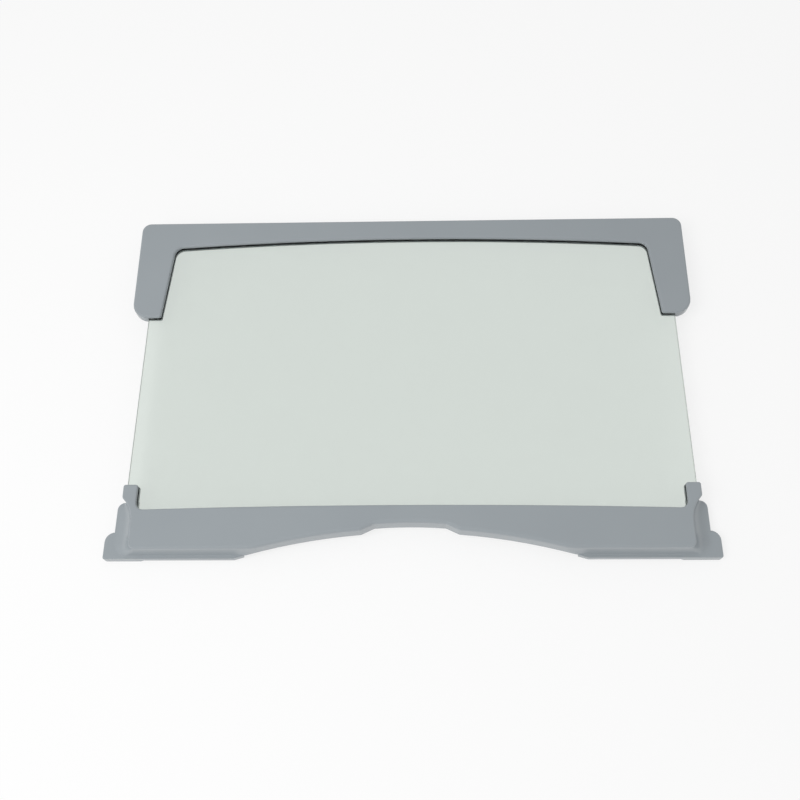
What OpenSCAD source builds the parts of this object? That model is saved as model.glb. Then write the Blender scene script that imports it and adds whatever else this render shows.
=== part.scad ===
// Refrigerator shelf: a glass pane held between a U-shaped rear trim and a moulded front trim.
// The shelf stands on the feet of its front trim: Z = 0 is their resting face, +Y is the back,
// and X = 0, Y = 0 is the middle of the whole shelf seen from above. The pane lies level.

/* [Glass pane] */
// Width of the pane
glass_w = 460; // [430:1:500]
// Depth of the pane from back to front
glass_d = 275; // [230:1:330]
// Thickness of the pane
glass_t = 4; // [3:0.5:6]
// Size of the cut across each front corner, hidden in the front trim
glass_front_dub = 16; // [14:0.5:18]
// Size of the cut across each rear corner, hidden in the rear trim
glass_rear_dub = 3; // [1:0.5:8]
// Width of the ground arris along every edge
glass_arris = 0.5; // [0.2:0.1:1]

/* [Grip on the pane] */
// Thickness of the lips above and below the pane
lip_t = 3; // [2:0.25:4]
// Clearance over and beside the pane in its slots
slot_fit = 0.2; // [0.1:0.05:0.5]
// Thickness of the moulded walls and ribs under the skin
wall_t = 2.5; // [1.5:0.1:3]

/* [Rear trim] */
// Thickness of the wall behind the pane
rear_wall = 3.3; // [2:0.1:6]
// Width of the arms outside the pane, at the back
rear_side = 15.3; // [13:0.1:22]
// How much each arm's outer side draws in towards its tip
rear_taper = 1; // [0:0.1:2]
// Depth of the band at mid-width
band_d = 19; // [14:0.5:30]
// How far the band's inner edge bows back at mid-width
band_bow = 7.5; // [0:0.5:12]
// Length of the arms from the back face
arm_len = 97.5; // [70:0.5:130]
// Overlap of an arm on the pane, next to the band
arm_grip_root = 17.8; // [14:0.1:26]
// Overlap of an arm on the pane, at its tip
arm_grip_tip = 11.3; // [8:0.1:14]
// Radius of the two outer corners seen from above
rear_corner_r = 8; // [4:0.5:12]
// Radius of the outer corner at each arm's tip
arm_tip_r = 14; // [6:0.5:16]
// Radius of the two inner corners
rear_inner_r = 8; // [3:0.5:12]
// Rounding of the outer edge on top
rear_edge_r = 2; // [0.5:0.1:2.8]
// Rounding of the outer edge underneath
rear_under_r = 1.2; // [0.4:0.1:2]
// Number of hollows along the underside of each arm
arm_cores = 3; // [1:1:6]

/* [Front trim] */
// Height of the top surface over the feet's resting face
trim_h = 23.5; // [21:0.5:30]
// Overlap on the pane at the ends
front_grip = 6.2; // [5:0.1:9]
// How much further the inner edge reaches back at mid-width
front_bow = 3; // [0:0.1:6]
// Depth of the top surface at the ends, from inner edge to front
front_top_d = 32.2; // [29:0.1:40]
// How far the front face leans out between its top and its hem
skirt_run = 2.2; // [0:0.1:4]
// Width of the ledge along the foot of the front face
flange_w = 2.3; // [1:0.1:4]
// Rounding where the top surface meets the front face
front_edge_r = 3; // [1:0.1:3.5]
// Radius of the arch in the front edge
arch_r = 492; // [440:1:560]
// Depth of the arch behind the hem of the front face
arch_d = 18.5; // [14:0.1:19.5]
// Radius of the bend where the arch meets the straight front
arch_blend_r = 40; // [10:1:60]
// Distance between the stiffening ribs under the top surface
rib_pitch = 40; // [25:1:60]

/* [Finger notch] */
// Width of the notch along its back
notch_w = 57.6; // [40:0.5:70]
// Depth of the notch behind the arch
notch_d = 4.6; // [2:0.1:5]
// Run of the notch's slanting ends
notch_run = 10.7; // [6:0.1:16]

/* [Side fingers] */
// Length of the fingers behind the inner edge
finger_len = 21; // [15:0.5:35]
// Width of the fingers
finger_w = 11.8; // [9:0.1:13]
// Thickness of the fingers outside the pane, with the clearance
finger_side = 2.3; // [1.8:0.1:3.5]
// Radius in the corner between finger and inner edge
finger_root_r = 6; // [2:0.5:10]

/* [End flanks and feet] */
// How far the top surface's ends lie inside the fingers' outer faces
flank_in = 9; // [6:0.1:10]
// Width of the sloping flanks
flank_run = 16.2; // [12:0.1:20]
// How hollow the flanks are: 0 is a straight slope, 1 is a full quarter curve
flank_cove = 0.6; // [0:0.05:1]
// How far the flanks' rear ends lie behind the inner edge
flank_back = 10; // [8:0.1:14]
// Height of the feet
foot_h = 8.5; // [7:0.1:10]
// Height of the straight front's hem above the feet's resting face
hem_z = 3; // [1.5:0.1:4]
// Height of the arch's hem above the feet's resting face
arch_hem_z = 7.5; // [4.5:0.1:8]
// How far the feet stand out beyond the flanks
foot_reach = 7.7; // [5:0.1:14]
// Depth of the feet from back to front
foot_d = 22; // [16:0.5:26]
// Length of the feet along the front, measured inwards from their outer end
foot_w = 29.2; // [24:0.1:40]
// Radius of each foot's outer rear corner
foot_corner_r = 8; // [3:0.5:10]

/* [Hidden] */

plastic = [0.62, 0.645, 0.67];
pane_tint = [0.84, 0.91, 0.88, 0.45];

// A cut that runs out through a face goes this far past it
past = 1;
// Steps in the round of an edge, and in the curve of a flank
edge_steps = 4;
flank_steps = 7;
// Samples along each half of a bowed edge
bow_steps = 10;
// Edge rounding inside a slot's mouth, on the fingers and on the flanks
mouth_edge_r = 1.2;
flank_edge_r = 1.5;
finger_tip_r = 1.8;
foot_edge_r = 1;
// Corners of the front trim seen from above: at the top surface and at the flanks' foot
top_corner_r = 5;
base_corner_r = 11;
flank_rear_r = 6;
flank_turn_r = 27;
arm_inner_tip_r = 2;
notch_corner_r = 4.5;
// The notch's back is a little arched
notch_bow = 1.1;
// Top of the arms' hollows is closed by the lip's own thickness
core_gap = 12;
// Samples along each half of the arch, and how far it starts outside the notch
arch_steps = 6;
rib_t = 2;

// Heights
glass_top_z = trim_h - lip_t;
glass_low_z = glass_top_z - glass_t;
under_z = glass_low_z - lip_t;

// Places from back to front, measured from the back face
glass_back_y = -rear_wall - slot_fit;
glass_front_y = glass_back_y - glass_d;
inner_y = glass_front_y + front_grip;
face_top_y = inner_y - front_top_d;
face_low_y = face_top_y - skirt_run;
front_y = face_low_y - flange_w;
channel_y = glass_front_y - slot_fit;
cavity_y = channel_y - wall_t;
mid_y = front_y / 2;

// Places across, measured from the middle
glass_x = glass_w / 2;
rear_x = glass_x + rear_side;
band_x = glass_x - arm_grip_root;
tip_in_x = glass_x - arm_grip_tip;
finger_out_x = glass_x + finger_side;
finger_in_x = finger_out_x - finger_w;
flank_top_x = finger_out_x - flank_in;
flank_low_x = flank_top_x + flank_run;
foot_x = flank_low_x + foot_reach;

// The arch is part of a circle whose middle lies in front of the shelf
arch_y = face_low_y + arch_d;
arch_mid_y = arch_y - arch_r;
function arch_at(x, more = 0) = arch_mid_y + sqrt(pow(arch_r + more, 2) - x * x);
function arch_meets(y, more = 0) = sqrt(pow(arch_r + more, 2) - pow(y - arch_mid_y, 2));

function mix(a, b, t) = a * (1 - t) + b * t;
function unit(v) = v / norm(v);
function xy(p) = [p[0], p[1]];

// The points of one corner [x, y, radius, edge rounding] between its neighbours a and b
function corner_points(a, p, b) =
    let (
        u = unit(xy(a) - xy(p)),
        v = unit(xy(b) - xy(p)),
        half = acos(u * v) / 2,
        c = xy(p) + unit(u + v) * p[2] / sin(half),
        from = xy(p) + u * p[2] / tan(half) - c,
        to = xy(p) + v * p[2] / tan(half) - c,
        start = atan2(from[1], from[0]),
        turn = (atan2(to[1], to[0]) - start + 540) % 360 - 180,
        steps = max(2, ceil(abs(turn) / 15))
    )
    [for (i = [0 : steps])
        [c[0] + p[2] * cos(start + turn * i / steps), c[1] + p[2] * sin(start + turn * i / steps), p[3]]];

// Two outlines that are lofted into each other need as many points at each corner, so count fixes it
function corner_fixed(a, p, b, count) =
    let (
        u = unit(xy(a) - xy(p)),
        v = unit(xy(b) - xy(p)),
        half = acos(u * v) / 2,
        c = xy(p) + unit(u + v) * p[2] / sin(half),
        from = xy(p) + u * p[2] / tan(half) - c,
        to = xy(p) + v * p[2] / tan(half) - c,
        start = atan2(from[1], from[0]),
        turn = (atan2(to[1], to[0]) - start + 540) % 360 - 180
    )
    [for (i = [0 : count])
        [c[0] + p[2] * cos(start + turn * i / count), c[1] + p[2] * sin(start + turn * i / count), p[3]]];

// A path of corners with each radius worked in; a corner of radius 0 stays one point
function rounded(path) =
    [for (i = [0 : len(path) - 1])
        each (path[i][2] == 0 || i == 0 || i == len(path) - 1)
            ? [[path[i][0], path[i][1], path[i][3]]]
            : len(path[i]) > 4
                ? corner_fixed(path[i - 1], path[i], path[i + 1], path[i][4])
                : corner_points(path[i - 1], path[i], path[i + 1])];

// A half outline on the +X side, closed by its mirror image
function both_sides(half) =
    concat(half, [for (i = [len(half) - 1 : -1 : 0]) if (half[i][0] > 0.001) [-half[i][0], half[i][1], half[i][2]]]);

// Direction that moves each point of a closed outline inwards by one unit of wall
function inwards(pts) =
    [for (i = [0 : len(pts) - 1])
        let (
            n = len(pts),
            d0 = unit(xy(pts[i]) - xy(pts[(i + n - 1) % n])),
            d1 = unit(xy(pts[(i + 1) % n]) - xy(pts[i])),
            n0 = [-d0[1], d0[0]],
            n1 = [-d1[1], d1[0]]
        )
        (n0 + n1) / (1 + n0 * n1)];

// An outline grown outwards by a clearance, as plain points
function grown(pts, by) =
    let (m = inwards(pts))
    [for (i = [0 : len(pts) - 1]) xy(pts[i]) - m[i] * by];

// Rings of a body between two outlines of equal count. It leaves the low outline, follows a straight
// or hollow flank to the high outline, and rounds over into the top face by each point's own radius.
function body_rings(low, high, low_z, high_z, levels, cove, low_r = 0) =
    let (
        m_low = inwards(low),
        m_high = inwards(high),
        n = len(low)
    )
    concat(
        low_r == 0 ? [] : [[for (i = [0 : n - 1]) let (p = xy(low[i]) + m_low[i] * low_r) [p[0], p[1], low_z]],
            [for (i = [0 : n - 1]) let (p = xy(low[i]) + m_low[i] * low_r * 0.3) [p[0], p[1], low_z + low_r * 0.3]]],
        [for (k = [0 : levels])
            let (
                s = 1 - k / levels,
                across = mix(s, 1 - cos(90 * s), cove),
                down = mix(s, sin(90 * s), cove)
            )
            [for (i = [0 : n - 1])
                let (p = mix(xy(high[i]), xy(low[i]), across))
                [p[0], p[1], mix(high_z - high[i][2], low_z + low_r, down)]]],
        [for (k = [1 : edge_steps])
            let (a = 90 * k / edge_steps)
            [for (i = [0 : n - 1])
                let (r = high[i][2], p = xy(high[i]) + m_high[i] * r * (1 - cos(a)))
                [p[0], p[1], high_z - r + r * sin(a)]]]
    );

// Triangles that fill a flat outline between its points i and j, always across the shorter way
function filled(pts, i, j) =
    j - i < 2 ? [] :
    let (
        n = len(pts),
        up = norm(xy(pts[i + 1]) - xy(pts[j % n])),
        down = norm(xy(pts[i]) - xy(pts[j - 1]))
    )
    up < down
        ? concat([[i, i + 1, j % n]], filled(pts, i + 1, j))
        : concat([[i, j - 1, j % n]], filled(pts, i, j - 1));

// The solid between a stack of rings of equal count. A mirrored outline is filled from its middle.
module ring_solid(rings, mirrored = true) {
    n = len(rings[0]);
    last = len(rings) - 1;
    turn = mirrored ? n / 2 : n - 1;
    function cap(pts) = concat(filled(pts, 0, turn), filled(pts, turn, n));
    polyhedron(
        points = [for (ring = rings) each ring],
        faces = concat(
            cap(rings[0]),
            [for (k = [0 : last - 1], i = [0 : n - 1])
                each [[k * n + i, (k + 1) * n + i, (k + 1) * n + (i + 1) % n],
                      [k * n + i, (k + 1) * n + (i + 1) % n, k * n + (i + 1) % n]]],
            [for (f = cap(rings[last])) [last * n + f[2], last * n + f[1], last * n + f[0]]]
        ),
        convexity = 10
    );
}

// The pane's outline, with its front corners cut to clear the hollow flanks
function pane_outline() =
    both_sides([
        [0, glass_front_y, glass_arris],
        [glass_x - glass_front_dub, glass_front_y, glass_arris],
        [glass_x, glass_front_y + glass_front_dub, glass_arris],
        [glass_x, glass_back_y - glass_rear_dub, glass_arris],
        [glass_x - glass_rear_dub, glass_back_y, glass_arris],
        [0, glass_back_y, glass_arris]
    ]);

// Space that the pane takes in a slot: it rests on the lower lip and has clearance elsewhere
module pane_space() {
    translate([0, 0, glass_low_z])
        linear_extrude(glass_t + slot_fit)
            polygon(grown(pane_outline(), slot_fit));
}

module glass_pane() {
    color(pane_tint)
        translate([0, -mid_y, 0])
            ring_solid(pane_rings());
}

// The pane with its arris ground at 45 degrees on both faces
function pane_rings() =
    let (
        o = pane_outline(),
        m = inwards(o),
        inset = [for (i = [0 : len(o) - 1]) xy(o[i]) + m[i] * glass_arris]
    )
    [
        [for (p = inset) [p[0], p[1], glass_low_z]],
        [for (p = o) [p[0], p[1], glass_low_z + glass_arris]],
        [for (p = o) [p[0], p[1], glass_top_z - glass_arris]],
        [for (p = inset) [p[0], p[1], glass_top_z]]
    ];

// The rear trim seen from above: bowed band, arms that draw in, round tips and corners
function band_inner_at(x) = -band_d - band_bow * pow(x / band_x, 2);

function rear_half() =
    rounded(concat(
        [for (i = [0 : bow_steps - 1]) let (x = band_x * i / bow_steps) [x, band_inner_at(x), 0, rear_edge_r]],
        [
            [band_x, band_inner_at(band_x), rear_inner_r, rear_edge_r],
            [tip_in_x, -arm_len, arm_inner_tip_r, rear_edge_r * 0.8],
            [rear_x - rear_taper, -arm_len, arm_tip_r, rear_edge_r],
            [rear_x, 0, rear_corner_r, rear_edge_r],
            [0, 0, 0, rear_edge_r]
        ]
    ));

// Hollows under one arm, between its outer wall, the slot's wall and cross ribs
module arm_hollows() {
    first_y = -core_gap;
    last_y = -arm_len + arm_tip_r;
    in_x = glass_x + slot_fit + wall_t;
    out_x = rear_x - rear_taper - wall_t;
    pitch = (first_y - last_y + rib_t) / arm_cores;
    for (i = [0 : arm_cores - 1])
        translate([in_x, first_y - i * pitch - (pitch - rib_t), under_z - past])
            cube([out_x - in_x, pitch - rib_t, glass_top_z - under_z + past]);
}

module rear_trim() {
    outline = both_sides(rear_half());
    color(plastic)
        translate([0, -mid_y, 0])
            difference() {
                ring_solid(body_rings(outline, outline, under_z, trim_h, 1, 0, rear_under_r));
                pane_space();
                arm_hollows();
                mirror([1, 0, 0]) arm_hollows();
            }
}

// Front edge of the front trim from mid-width to the straight front, with the finger notch
function front_edge(front_line) =
    let (
        half = notch_w / 2,
        out = half + notch_run,
        back_y = arch_y + notch_d,
        meets = arch_meets(front_line)
    )
    concat(
        [for (i = [0 : 2]) let (x = half * i / 3) [x, back_y - notch_bow * pow(x / half, 2), 0, front_edge_r]],
        [
            [half, back_y - notch_bow, notch_corner_r, front_edge_r, 3],
            [out, arch_at(out), notch_corner_r, front_edge_r, 3]
        ],
        [for (i = [1 : arch_steps]) let (x = mix(out, meets, i / (arch_steps + 1))) [x, arch_at(x), 0, front_edge_r]],
        [[meets, front_line, arch_blend_r, front_edge_r, 4]]
    );

// Inner edge and fingers, the same at every height
function inner_edge() =
    concat(
        [
            [finger_out_x, inner_y + finger_len, finger_tip_r, mouth_edge_r, 5],
            [finger_in_x, inner_y + finger_len, finger_tip_r, mouth_edge_r, 5],
            [finger_in_x, inner_y, finger_root_r, mouth_edge_r, 6]
        ],
        [for (i = [1 : bow_steps])
            let (x = finger_in_x * (1 - i / bow_steps))
            [x, inner_y + front_bow * (1 - pow(x / finger_in_x, 2)), 0, mouth_edge_r]]
    );

function front_top_half() =
    rounded(concat(
        front_edge(face_top_y),
        [
            [flank_top_x, face_top_y, top_corner_r, flank_edge_r, 6],
            [flank_top_x, inner_y + flank_back - flank_in, flank_turn_r, flank_edge_r, 6],
            [finger_out_x, inner_y + flank_back, 2 * flank_edge_r, flank_edge_r, 3]
        ],
        inner_edge()
    ));

function front_low_half() =
    rounded(concat(
        front_edge(face_low_y),
        [
            [flank_low_x, face_low_y, base_corner_r, flank_edge_r, 6],
            [flank_low_x, inner_y + flank_back, flank_rear_r, flank_edge_r, 6],
            [finger_out_x, inner_y + flank_back, 1, flank_edge_r, 3]
        ],
        inner_edge()
    ));

// An outline at one height, as a ring
function level(pts, z) = [for (p = pts) [p[0], p[1], z]];

// The moulded skin of the front trim, still solid underneath, down to the hem of the arch
module front_skin() {
    low = both_sides(front_low_half());
    high = both_sides(front_top_half());
    ring_solid(concat(
        [level(low, arch_hem_z)],
        body_rings(low, high, foot_h, trim_h, flank_steps, flank_cove)
    ));
}

// The skirt under each straight front, with its ledge. Its inner end slants along the arch.
module skirt() {
    start_x = arch_meets(face_low_y);
    end_x = arch_meets(front_y);
    rear_y = face_low_y + 2 * wall_t;
    translate([0, 0, hem_z])
        linear_extrude(foot_h - hem_z)
            polygon([
                [start_x, face_low_y + wall_t], [start_x, face_low_y], [end_x, front_y],
                [flank_low_x - base_corner_r, front_y], [flank_low_x - base_corner_r, rear_y], [end_x, rear_y]
            ]);
}

// One foot: a low block under the flank's outer front corner, with a slanting inner end
module foot() {
    rear_y = front_y + foot_d;
    function sole(in_x) = rounded([
        [in_x, front_y, 0, foot_edge_r],
        [foot_x, front_y, 1.5, foot_edge_r, 3],
        [foot_x, rear_y, foot_corner_r, foot_edge_r, 6],
        [flank_low_x - base_corner_r, rear_y, 0, foot_edge_r],
        [flank_low_x - base_corner_r, front_y + wall_t + flange_w, 0, foot_edge_r],
        [in_x, front_y + wall_t + flange_w, 0, foot_edge_r]
    ]);
    ring_solid(body_rings(sole(foot_x - foot_w), sole(foot_x - foot_w - foot_h), 0, foot_h, 1, 0), false);
}

// Hollow under one half of the front trim, at the wall thickness inside the skin
module cavity() {
    start_x = notch_w / 2 + notch_run + 2 * wall_t;
    function plan(front_line, end_x, corner_r) =
        let (meets = arch_meets(front_line, wall_t))
        rounded(concat(
            [for (i = [0 : arch_steps])
                let (x = mix(start_x, meets, i / arch_steps)) [x, arch_at(x, wall_t), 0, 0]],
            [
                [end_x, front_line, corner_r, 0, 6],
                [end_x, cavity_y, 1, 0, 2],
                [start_x, cavity_y, 0, 0]
            ]
        ));
    low = plan(face_low_y + wall_t, flank_low_x - wall_t, base_corner_r - wall_t);
    high = plan(face_top_y + wall_t, flank_top_x - wall_t, top_corner_r - wall_t);
    difference() {
        ring_solid(concat([level(low, -past)], cavity_rings(low, high)), false);
        ribs();
    }
}

function cavity_rings(low, high) =
    [for (k = [0 : flank_steps])
        let (
            s = 1 - k / flank_steps,
            across = mix(s, 1 - cos(90 * s), flank_cove),
            down = mix(s, sin(90 * s), flank_cove)
        )
        [for (i = [0 : len(low) - 1])
            let (p = mix(xy(high[i]), xy(low[i]), across))
            [p[0], p[1], mix(trim_h - lip_t, foot_h, down)]]];

// Cross ribs that stay standing in the hollow
module ribs() {
    first_x = 2 * rib_pitch;
    for (x = [first_x : rib_pitch : flank_top_x - rib_pitch / 2])
        translate([x, front_y, hem_z + wall_t])
            cube([rib_t, -front_y, trim_h]);
}

// Everything below the lower lip, behind the channel's rear wall and under the fingers
module under_lip_space() {
    low_z = -past;
    block_x = finger_in_x + 1.5;
    translate([-block_x, channel_y, low_z])
        cube([2 * block_x, -channel_y, under_z - low_z]);
    translate([-foot_x, inner_y + flank_back, low_z])
        cube([2 * foot_x, finger_len, under_z - low_z]);
}

module front_trim() {
    color(plastic)
        translate([0, -mid_y, 0])
            difference() {
                union() {
                    front_skin();
                    for (side = [0, 1])
                        mirror([side, 0, 0]) {
                            skirt();
                            foot();
                        }
                }
                pane_space();
                under_lip_space();
                for (side = [0, 1])
                    mirror([side, 0, 0])
                        cavity();
            }
}

glass_pane();
rear_trim();
front_trim();
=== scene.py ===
# %% [markdown]
# # A refrigerator shelf, dressed for its picture
# The shelf is a flat glass pane with two moulded trims of grey plastic. A U-shaped trim closes the
# rear edge and both rear corners. The front trim has an arched front with a finger notch, a finger
# at each end that grips the side of the pane, hollow end flanks and two low feet.
# The measured shapes come packed as three nodes. This lesson copies their meshes, gives them
# smooth shading and real finishes, and then sets up the floor, the light and the camera.

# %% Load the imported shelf
import math

import bmesh
import bpy
from mathutils import Matrix, Vector


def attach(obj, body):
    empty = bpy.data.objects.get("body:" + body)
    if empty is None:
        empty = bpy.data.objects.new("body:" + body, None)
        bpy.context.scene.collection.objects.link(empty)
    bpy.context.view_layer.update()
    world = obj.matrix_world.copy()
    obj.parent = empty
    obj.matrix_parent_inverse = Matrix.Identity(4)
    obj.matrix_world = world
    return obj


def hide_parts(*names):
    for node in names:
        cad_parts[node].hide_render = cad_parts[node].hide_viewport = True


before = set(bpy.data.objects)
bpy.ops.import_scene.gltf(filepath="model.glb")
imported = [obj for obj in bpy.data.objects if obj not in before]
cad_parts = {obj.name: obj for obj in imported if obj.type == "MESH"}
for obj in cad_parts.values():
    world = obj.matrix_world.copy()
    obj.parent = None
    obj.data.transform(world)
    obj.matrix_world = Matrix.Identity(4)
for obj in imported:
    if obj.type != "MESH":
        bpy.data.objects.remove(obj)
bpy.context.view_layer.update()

print("packed nodes:", sorted(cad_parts))

# %% [markdown]
# ## The camera
# The photograph looks down at the shelf from the front, a little over 66 degrees below the horizon.
# The angles, the place and the lens were solved from the shelf's own corners in the photograph,
# so the camera gets them as numbers instead of being aimed by eye. It leans by about four degrees,
# which is why the rear trim rises to the right in the picture.

# %% Set the camera
CAMERA_PLACE = Vector((0.01264, -0.32818, 0.72947))
LOOKS_DOWN = 1.16318
LOOKS_LEFT = 0.06835
LEANS = 0.07009
LENS_MM = 41.4

ahead = Vector((
    -math.sin(LOOKS_LEFT) * math.cos(LOOKS_DOWN),
    math.cos(LOOKS_LEFT) * math.cos(LOOKS_DOWN),
    -math.sin(LOOKS_DOWN),
))
across = Vector((math.cos(LOOKS_LEFT), math.sin(LOOKS_LEFT), 0))
below = ahead.cross(across)
camera_x = across * math.cos(LEANS) + below * math.sin(LEANS)
camera_y = across * math.sin(LEANS) - below * math.cos(LEANS)

camera_data = bpy.data.cameras.new("camera")
camera_data.lens = LENS_MM
camera_data.sensor_width = 36
camera_data.clip_end = 50
camera = bpy.data.objects.new("camera", camera_data)
turned = Matrix((camera_x, camera_y, -ahead)).transposed().to_4x4()
camera.matrix_world = Matrix.Translation(CAMERA_PLACE) @ turned
bpy.context.scene.collection.objects.link(camera)
bpy.context.scene.camera = camera
print("the camera stands", round(CAMERA_PLACE.length * 1000), "mm from the shelf's middle")

# %% [markdown]
# ## Helpers for materials
# A colour is written as the hex value that a picture editor shows, and Blender's sockets want
# linear light, so one function turns it. Another adds a node with its settings and links, because
# every material below is a small network of the same kind.

# %% Colour and node helpers
def linear(hex_value, alpha=1.0):
    parts = [int(hex_value[i:i + 2], 16) / 255 for i in (1, 3, 5)]
    return [p / 12.92 if p <= 0.04045 else ((p + 0.055) / 1.055) ** 2.4 for p in parts] + [alpha]


def add_node(tree, kind, settings=None, **sockets):
    node = tree.nodes.new(kind)
    for name, value in (settings or {}).items():
        setattr(node, name, value)
    for name, value in sockets.items():
        socket = node.inputs[int(name[1:])] if name[0] == "i" and name[1:].isdigit() else node.inputs[name.replace("_", " ")]
        if isinstance(value, bpy.types.NodeSocket):
            tree.links.new(value, socket)
        else:
            socket.default_value = value
    return node


def new_material(name):
    material = bpy.data.materials.new(name)
    material.use_nodes = True
    material.node_tree.nodes.clear()
    return material, material.node_tree


def finish_with(tree, shader):
    output = tree.nodes.new("ShaderNodeOutputMaterial")
    tree.links.new(shader, output.inputs["Surface"])


# %% [markdown]
# ## The trims' plastic
# Such trims are moulded in grey polystyrene or ABS with a smooth, slightly glossy skin.

# %% Moulded grey plastic
def moulded_grey_plastic():
    material, tree = new_material("moulded_grey_abs")
    place = add_node(tree, "ShaderNodeTexCoord").outputs["Object"]
    cloud = add_node(tree, "ShaderNodeTexNoise", Vector=place, Scale=14.0, Detail=3.0)
    tone = add_node(tree, "ShaderNodeMix", {"data_type": "RGBA"}, Factor=cloud.outputs["Fac"],
                    A=linear("#969DA2"), B=linear("#9DA4A8"))
    grain = add_node(tree, "ShaderNodeTexNoise", Vector=place, Scale=2600.0, Detail=2.0)
    bump = add_node(tree, "ShaderNodeBump", Strength=0.08, Distance=0.00005, Height=grain.outputs["Fac"])
    skin = add_node(tree, "ShaderNodeBsdfPrincipled", Base_Color=tone.outputs["Result"],
                    Roughness=0.22, IOR=1.5, Normal=bump.outputs["Normal"])
    finish_with(tree, skin.outputs["BSDF"])
    return material


def float_glass():
    material, tree = new_material("float_glass")
    glass = add_node(tree, "ShaderNodeBsdfPrincipled", Base_Color=linear("#E4EBE6"),
                     Roughness=0.02, IOR=1.5, Transmission_Weight=1.0)
    finish_with(tree, glass.outputs["BSDF"])
    return material


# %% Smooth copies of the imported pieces
def smooth_copy(node, name, material, sharp_from=35):
    mesh = bpy.data.meshes.new(name)
    bm = bmesh.new()
    bm.from_mesh(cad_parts[node].data)
    bmesh.ops.remove_doubles(bm, verts=bm.verts, dist=0.00001)
    bmesh.ops.dissolve_limit(bm, angle_limit=math.radians(0.2), verts=bm.verts, edges=bm.edges)
    bm.to_mesh(mesh)
    bm.free()
    mesh.materials.clear()
    mesh.materials.append(material)
    mesh.polygons.foreach_set("use_smooth", [True] * len(mesh.polygons))
    mesh.set_sharp_from_angle(angle=math.radians(sharp_from))
    piece = bpy.data.objects.new(name, mesh)
    bpy.context.scene.collection.objects.link(piece)
    weighted = piece.modifiers.new("even shading", "WEIGHTED_NORMAL")
    weighted.keep_sharp = True
    weighted.weight = 100
    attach(piece, "root")
    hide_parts(node)
    print(name, "has", len(mesh.polygons), "faces")
    return piece


plastic = moulded_grey_plastic()
rear = smooth_copy("rear_trim", "rear_trim_moulding", plastic)
front = smooth_copy("front_trim", "front_trim_moulding", plastic)
pane = smooth_copy("glass_pane", "pane", float_glass(), 20)

# %% The floor
def stage_floor():
    material, tree = new_material("white_floor")
    path = add_node(tree, "ShaderNodeLightPath")
    seen = add_node(tree, "ShaderNodeMath", {"operation": "MAXIMUM"}, i0=path.outputs["Is Camera Ray"], i1=path.outputs["Is Glossy Ray"])
    seen = add_node(tree, "ShaderNodeMath", {"operation": "MAXIMUM"}, i0=seen.outputs[0], i1=path.outputs["Is Transmission Ray"])
    white = add_node(tree, "ShaderNodeEmission", Color=(1, 1, 1, 1), Strength=1.0)
    board = add_node(tree, "ShaderNodeBsdfDiffuse", Color=(0.9, 0.9, 0.9, 1))
    lit = add_node(tree, "ShaderNodeMixShader", i0=0.25, i1=white.outputs[0], i2=board.outputs[0])
    both = add_node(tree, "ShaderNodeMixShader", i0=seen.outputs[0], i1=board.outputs[0], i2=lit.outputs[0])
    finish_with(tree, both.outputs[0])
    mesh = bpy.data.meshes.new("floor")
    bm = bmesh.new()
    bmesh.ops.create_grid(bm, x_segments=1, y_segments=1, size=6)
    bm.to_mesh(mesh)
    bm.free()
    mesh.materials.append(material)
    floor = bpy.data.objects.new("floor", mesh)
    bpy.context.scene.collection.objects.link(floor)
    return floor


floor = stage_floor()

# %% World and lamps
world = bpy.data.worlds.new("studio")
bpy.context.scene.world = world
world.use_nodes = True
world.node_tree.nodes["Background"].inputs["Color"].default_value = (1, 1, 1, 1)
world.node_tree.nodes["Background"].inputs["Strength"].default_value = 0.6

key_data = bpy.data.lights.new("key", "AREA")
key_data.shape = "SQUARE"
key_data.size = 0.8
key_data.energy = 9
key = bpy.data.objects.new("key", key_data)
key.location = (-0.6, -0.5, 1.2)
key.rotation_euler = Vector((-0.6, -0.5, 1.2)).to_track_quat("Z", "Y").to_euler()
key.visible_glossy = False
bpy.context.scene.collection.objects.link(key)

bpy.context.scene.view_settings.view_transform = "Standard"
